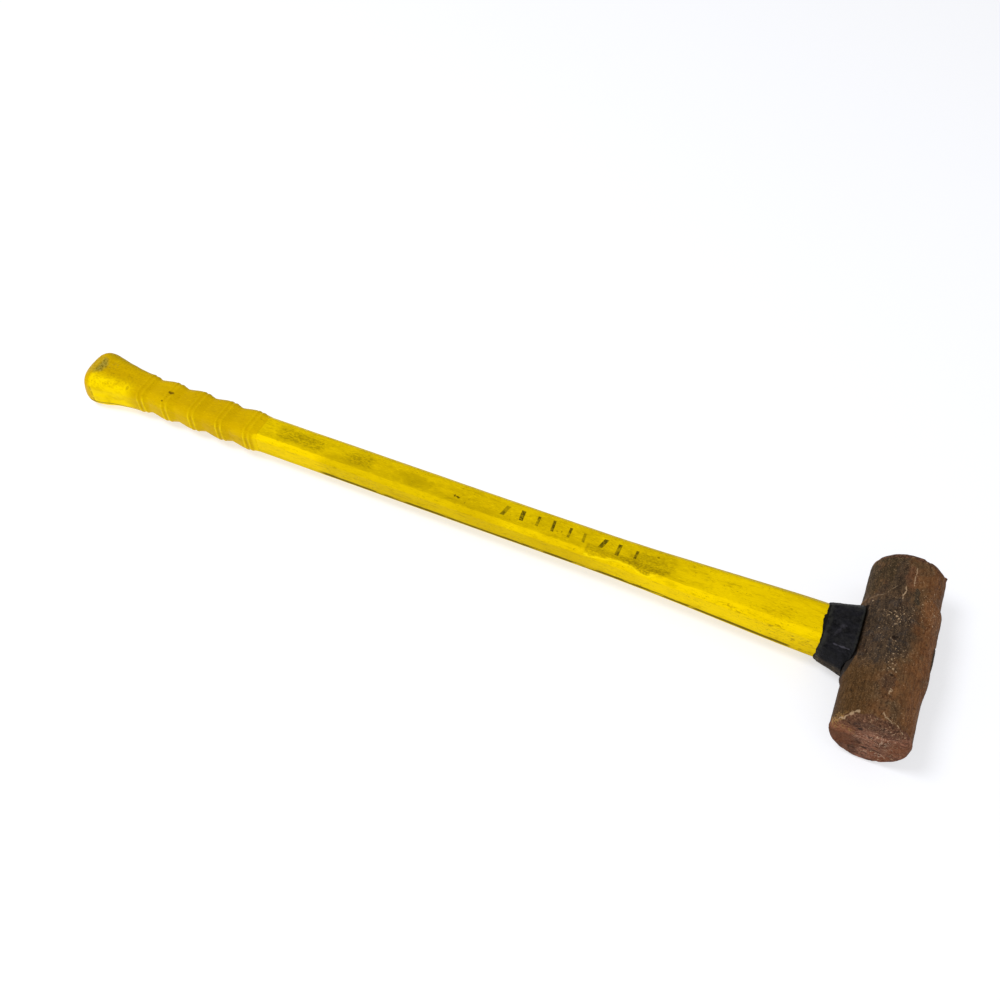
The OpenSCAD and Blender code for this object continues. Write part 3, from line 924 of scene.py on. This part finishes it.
def cut_eye(head):
    """Cuts the hourglass eye through the head, with a worn lip at both mouths."""
    count = EYE_COLUMNS
    outer = PAD_REACH + 3
    places = [(-outer, 3.0), (-PAD_REACH + 0.6, 0), (0, 0), (PAD_REACH - 0.6, 0), (outer, 3.0)]
    points = [p for x, grow in places for p in eye_ring(x, count, grow)]
    faces = grid_faces(len(places), count)
    faces.append(tuple(reversed(range(count))))
    faces.append(tuple(range((len(places) - 1) * count, len(places) * count)))
    cutter = make_piece("eye_cutter", points, faces, head.data.materials[0])
    cut = head.modifiers.new("eye", "BOOLEAN")
    cut.operation = "DIFFERENCE"
    cut.solver = "EXACT"
    cut.object = cutter
    with bpy.context.temp_override(object=head, active_object=head, selected_objects=[head]):
        bpy.ops.object.modifier_apply(modifier=cut.name)
    bpy.data.objects.remove(cutter)
    head.data.set_sharp_from_angle(angle=SHARP_ANGLE)


def build_bond(material):
    """The cast ring between the eye and the core, with a meniscus at the far mouth."""
    count = EYE_COLUMNS
    start, end = SEAL_THICKNESS - PAD_REACH, PAD_REACH - EYE_RECESS
    core = [(CORE_RADIUS * math.cos(a), CORE_RADIUS * math.sin(a)) for a in around(count)]
    points = []
    for x in (start, 0.0, end):
        points += eye_ring(x, count, -0.02)
    outer_edge = eye_ring(end, count, -0.02)
    for share in (0.15, 0.4, 0.65, 0.9):
        sag = 0.7 * math.sin(math.pi * share)
        for (_, y, z), (cy, cz) in zip(outer_edge, core):
            wave = 0.2 * noise.noise(Vector((y, z, 3.0)) / 3)
            points.append((end - sag - wave, y + (cy - y) * share, z + (cz - z) * share))
    points += [(end, cy, cz) for cy, cz in core]
    points += [(start, cy, cz) for cy, cz in core]
    rings = len(points) // count
    faces = grid_faces(rings, count)
    faces += join_rings((rings - 1) * count, 0, count)
    return make_piece("eye_bond_cast", points, faces, material)


# ---- handle
def build_tube(name, stations, inner, columns, material, rough, slant=None, closed_butt=False):
    """A sleeve skinned over stations of (distance, half width, half height, corner radius).

    inner is the hollow's stations, rough gives the lift of points of the outside, and slant
    gives how far points of either side move along the handle."""
    angles = around(columns)
    spin = np.stack([np.cos(angles), np.sin(angles)], 1)
    rings_of = []
    for part in (stations, inner):
        rings = []
        for d, w, h, radius in part:
            reach = np.full(columns, w)
            if radius < w:
                reach = section_points(w, h, radius, angles)
            rings.append(np.column_stack([np.full(columns, -d), spin * reach[:, None]]))
        rings_of.append(np.vstack(rings))
    points, hollow = rings_of
    outward = np.column_stack([np.zeros(len(points)), np.tile(spin, (len(stations), 1))])
    lift = rough(points)
    if slant:
        points[:, 0] += slant(points)
        hollow[:, 0] += slant(hollow)
    points = points + outward * lift[:, None]
    outer_count = len(points)
    rings = len(stations)
    faces = grid_faces(rings, columns)
    faces += grid_faces(len(inner), columns, outer_count, flip=True)
    faces += join_rings(outer_count, 0, columns)
    everything = np.vstack([points, hollow])
    last_outer = (rings - 1) * columns
    last_inner = outer_count + (len(inner) - 1) * columns
    if closed_butt:
        faces.append(tuple(last_outer + k for k in range(columns)))
        faces.append(tuple(reversed([last_inner + k for k in range(columns)])))
    else:
        faces += join_rings(last_outer, last_inner, columns)
    return make_piece(name, everything, faces, material)


def jacket_width(d):
    taper = ease((d - PAD_REACH) / (JACKET_TAPER_END - PAD_REACH))
    return JACKET_HEAD_WIDTH + (JACKET_WIDTH - JACKET_HEAD_WIDTH) * taper


def build_jacket(material):
    reach = np.linspace(PAD_REACH, JACKET_END, 308)
    stations = []
    for d in reach:
        tuck = 3.5 * float(1 - ease((d - PAD_REACH - 0.5) / 2))
        w = float(jacket_width(d)) - tuck
        stations.append((d, w, w * SECTION_RATIO, JACKET_CORNER))
    inner = [(d, CORE_RADIUS, CORE_RADIUS, CORE_RADIUS) for d in (PAD_REACH, JACKET_END)]

    def rough(points):
        lift = bumpy(points / np.array([4, 1, 1]), (0.12, 12, 11), (0.04, 4, 12))
        draw = random.Random(11)
        for _ in range(JACKET_DENTS):
            d = draw.uniform(90, 640)
            a = math.radians(draw.choice((130, 230, 50))) + draw.uniform(-0.5, 0.5)
            w = float(jacket_width(d))
            size, depth = draw.uniform(1.5, 3.5), draw.uniform(0.15, 0.4)
            centre = (-d, w * math.cos(a), w * math.sin(a))
            lift -= depth * dent(points, centre, size, (1.8, 1, 1))
        d = -points[:, 0]
        level = points[:, 2] / (jacket_width(d) * SECTION_RATIO)
        border = curve(points[:, 0], RUB_BORDER)
        over = level - border - 0.05 * rough_field(points / np.array([2, 1, 1]), 5, 13)
        span = ease((RUB_FAR - d) / 2) * ease((d - RUB_NEAR) / 2) * ease((-4 - points[:, 1]) / 5)
        lift -= span * 0.7 * ease((over + 0.03) / 0.06) * ease((1.04 - level) / 0.1)
        lift += span * 0.15 * bump(over + 0.06, 0.05)
        return lift

    return build_tube("jacket", stations, inner, JACKET_COLUMNS, material, rough)


def build_collar(material):
    widest = COLLAR_HEAD_WIDTH - 0.2
    stations = [(COLLAR_LIP, widest - 1.6), (COLLAR_LIP + 0.2, widest - 0.7),
                (COLLAR_LIP + 0.9, widest), (COLLAR_LIP + 2.2, widest)]
    start, end = COLLAR_LIP + 2.2, COLLAR_REACH - 1
    for d in np.linspace(COLLAR_LIP + 3, end, 40):
        share = (d - start) / (end - start)
        stations.append((d, widest + (COLLAR_HANDLE_WIDTH - widest) * share))
    stations += [(COLLAR_REACH - 0.4, COLLAR_HANDLE_WIDTH - 0.3),
                 (COLLAR_REACH, COLLAR_HANDLE_WIDTH - 1.0)]
    rounder = COLLAR_CORNER - JACKET_CORNER
    stations = [
        (d, w, w * SECTION_RATIO, JACKET_CORNER + rounder * float(ease((COLLAR_REACH - d) / 14)))
        for d, w in stations
    ]
    inner = []
    for d in (COLLAR_LIP, 38, 45, 54, COLLAR_REACH):
        w = float(jacket_width(d)) + 0.1
        inner.append((d, w, w * SECTION_RATIO, JACKET_CORNER))

    def slant(points):
        # The lip follows the head's bulge. The other end is ragged, with a notch on top.
        turn = np.arctan2(points[:, 2], points[:, 1])
        y, height = points[:, 1], np.minimum(np.abs(points[:, 2]), 30)
        hollow = COLLAR_LIP - np.sqrt(COLLAR_LIP ** 2 - height ** 2)
        wrap = hollow * LIP_WRAP / np.cbrt(hollow ** 3 + LIP_WRAP ** 3)
        ring = np.column_stack([np.zeros(len(turn)), 22 * np.cos(turn), 22 * np.sin(turn)])
        ragged = 0.5 * rough_field(ring, 7, 23) + 0.28 * rough_field(ring, 2.6, 24, 2)
        notch = 1.5 * ease((6.5 - y) / 4) * ease((y + 13) / 12) * (points[:, 2] > 0)
        edge = 1.4 * ease((-8 - y) / 16) - notch + ragged
        near_lip = ease((54 + points[:, 0]) / 16)
        near_edge = ease((-points[:, 0] - COLLAR_REACH + 6) / 5)
        return (0.4 + wrap) * near_lip + edge * near_edge

    def rough(points):
        return bumpy(points, (0.3, 9, 21), (0.1, 2, 22))

    return build_tube("overstrike_collar", stations, inner, COLLAR_COLUMNS, material, rough, slant)


def bead_centres():
    """Where the grip's pairs of beads are, from the head's centre."""
    crests = [FIRST_CREST + i * RING_PITCH for i in range(RING_COUNT)]
    return [crest - BEAD_OFFSET for crest in crests[:-1]] + [crests[-1] - BEAD_OFFSET - 3]


def grip_width(d):
    """Half width of the grip: rings with a pair of beads each, then the flared butt."""
    marks, widths = [JACKET_END - 1, JACKET_END + 1.5], [JACKET_WIDTH + 0.15, JACKET_WIDTH + 0.3]
    for i in range(RING_COUNT):
        crest = FIRST_CREST + i * RING_PITCH
        profile = [(-9.5, CREST_WIDTH - 0.7), (-7.2, CREST_WIDTH - 0.4),
                   (-2.5, CREST_WIDTH), (2.5, CREST_WIDTH)]
        if i:
            profile.insert(0, (-16.5, VALLEY_WIDTH))
        for offset, width in profile:
            marks.append(crest + offset)
            widths.append(width)
    marks += [815.4, 831.4, 840.9, 852.9, HANDLE_REACH]
    widths += [19.6, 21.6, 23.6, FLARE_WIDTH, FLARE_WIDTH]
    fine = np.arange(JACKET_END - 20, HANDLE_REACH + 20, 0.25)
    smooth = np.convolve(np.interp(fine, marks, widths), np.hanning(25) / np.hanning(25).sum(),
                         "same")
    width = np.interp(d, fine, smooth)
    for centre in bead_centres():
        from_centre = np.abs(d - centre)
        width = width + BEAD_HEIGHT * bump(from_centre - BEAD_SPREAD, BEAD_REACH)
        width = width - GROOVE_DEPTH * bump(from_centre, GROOVE_REACH)
    return width


def build_grip(material):
    straight = HANDLE_REACH - BUTT_ROUND
    reach = np.linspace(JACKET_END, straight, 330)
    stations = []
    for d, w in zip(reach, grip_width(reach)):
        share = float(ease((d - FLARE_START) / (FLARE_END - FLARE_START)))
        ratio = SECTION_RATIO + (FLARE_RATIO - SECTION_RATIO) * share
        radius = JACKET_CORNER + (GRIP_CORNER - JACKET_CORNER) * float(ease((d - JACKET_END) / 9))
        stations.append((d, w, w * ratio, radius))
    _, last_w, last_h, _ = stations[-1]
    for a in np.radians(np.linspace(6, 90, 15)):
        inset = BUTT_ROUND * (1 - math.cos(a))
        d = straight + BUTT_ROUND * math.sin(a)
        stations.append((d, last_w - inset, last_h - inset, GRIP_CORNER))
    flat_w, flat_h = last_w - BUTT_ROUND, last_h - BUTT_ROUND
    for share in (0.8, 0.55, 0.3, 0.1):
        stations.append((HANDLE_REACH, flat_w * share, flat_h * share, GRIP_CORNER))
    wall = FLARE_WIDTH - BUTT_WALL
    bore = CORE_RADIUS
    inner = [(JACKET_END, bore, bore, bore), (PLUG_START, bore, bore, bore),
             (PLUG_START, bore + 2.5, bore + 2.5, bore + 2.5),
             (CORE_END - 8, wall, wall * FLARE_RATIO, GRIP_CORNER),
             (CORE_END, wall - 3, (wall - 3) * FLARE_RATIO, GRIP_CORNER)]

    def rough(points):
        lift = bumpy(points, (0.1, 9, 31), (0.04, 2.5, 32))
        lift -= 0.9 * dent(points, (-762.5, -1.2, 16.5), 3.0)
        lift -= 0.5 * dent(points, (-764, -14.5, 13.5), 1.7)
        lift += 0.6 * ease((-790 - points[:, 0]) / 40) * ease((points[:, 1] - 2) / 6)
        low_near = ease((-10 - points[:, 1]) / 6) * ease((4 - points[:, 2]) / 6)
        lift += 1.0 * low_near * bump(-845 - points[:, 0], 22)
        scuff = dent(points, (-860, 2, 17), 1, (7, 9, 7))
        lift -= 0.7 * scuff * (0.5 + rough_field(points, 3, 33))
        return lift * (np.hypot(points[:, 1], points[:, 2]) > 5)

    def slant(points):
        to_corner = points[:, 2] - points[:, 1]
        tilt = BUTT_WEAR * ease((to_corner - 14) / 20) - BUTT_SLANT * to_corner
        return tilt * ease((-BUTT_SLANT_START - points[:, 0]) / BUTT_SLANT_FADE)

    return build_tube("ringed_grip", stations, inner, GRIP_COLUMNS, material, rough, slant, closed_butt=True)


# ---- the hammer
head = build_head(forged_steel())
cut_eye(head)
bond = build_bond(cast_bond())
jacket = build_jacket(jacket_plastic())
collar = build_collar(collar_rubber())
grip = build_grip(grip_rubber())
for piece, node, slot in (
    (head, "hammer_head", "forged_steel"),
    (bond, "eye_bond", "bond"),
    (jacket, "handle_jacket", "jacket_plastic"),
    (collar, "collar", "collar_rubber"),
    (grip, "grip_sleeve", "grip_rubber"),
):
    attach(piece, "root")
    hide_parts(node)

for node, material in (
    ("handle_core", sawn_fibreglass()),
    ("eye_seal", plain_rubber("seal_rubber", (52, 52, 54), (70, 70, 72))),
    ("butt_plug", plain_rubber("plug_plastic", (118, 118, 112), (138, 138, 132))),
):
    cad_node = frame["nodes"][node]
    cad_node.data.materials.clear()
    cad_node.data.materials.append(material)

# ---- studio
HALF_FLOOR = 6.0
CORNERS = ((-1, -1), (1, -1), (1, 1), (-1, 1))
floor_mesh = bpy.data.meshes.new("floor")
floor_mesh.from_pydata([(x * HALF_FLOOR, y * HALF_FLOOR, 0) for x, y in CORNERS], [], [(0, 1, 2, 3)])
floor_mesh.materials.append(studio_floor())
floor = bpy.data.objects.new("floor", floor_mesh)
bpy.context.scene.collection.objects.link(floor)


def add_light(name, place, target, size, power, shadow=True):
    """A round soft light. Places are metres in the row's frame, the power is in watts."""
    light = bpy.data.lights.new(name, "AREA")
    light.shape = "DISK"
    light.size = size
    light.energy = power
    light.use_shadow = shadow
    lamp = bpy.data.objects.new(name, light)
    lamp.location = place
    lamp.rotation_euler = (Vector(target) - Vector(place)).to_track_quat("-Z", "Y").to_euler()
    bpy.context.scene.collection.objects.link(lamp)


# The front light only fills: its shadow would fall behind the hammer.
add_light("front_fill", place=(0.1, -2.0, 2.2), target=(0.1, 0, 0), size=2.2, power=25,
          shadow=False)
add_light("butt_softbox", place=(-2.0, -0.8, 3.7), target=(0.3, 0.05, 0), size=1.6, power=80)
world = bpy.data.worlds.new("studio")
world.use_nodes = True
background = world.node_tree.nodes["Background"]
background.inputs["Color"].default_value = (1, 1, 1, 1)
background.inputs["Strength"].default_value = WORLD_GLOW
bpy.context.scene.world = world
bpy.context.scene.view_settings.view_transform = "Standard"

# The camera looks down at the hammer from the near side, over the middle of the handle.
CAMERA_PLACE = Vector((0.27905, -0.5518, 0.8272))
CAMERA_YAW, CAMERA_PITCH, CAMERA_ROLL = 0.411, 0.909, 0.012
CAMERA_LENS, SENSOR_WIDTH = 36.62, 36
forward = Vector((
    -math.sin(CAMERA_YAW) * math.cos(CAMERA_PITCH),
    math.cos(CAMERA_YAW) * math.cos(CAMERA_PITCH),
    -math.sin(CAMERA_PITCH),
))
level = Vector((math.cos(CAMERA_YAW), math.sin(CAMERA_YAW), 0))
down = forward.cross(level)
right = level * math.cos(CAMERA_ROLL) - down * math.sin(CAMERA_ROLL)
up = -(level * math.sin(CAMERA_ROLL) + down * math.cos(CAMERA_ROLL))
camera = bpy.data.objects.new("camera", bpy.data.cameras.new("camera"))
camera.data.lens = CAMERA_LENS
camera.data.sensor_width = SENSOR_WIDTH
camera.matrix_world = Matrix((right, up, -forward)).transposed().to_4x4()
camera.location = CAMERA_PLACE
bpy.context.scene.collection.objects.link(camera)
bpy.context.scene.camera = camera
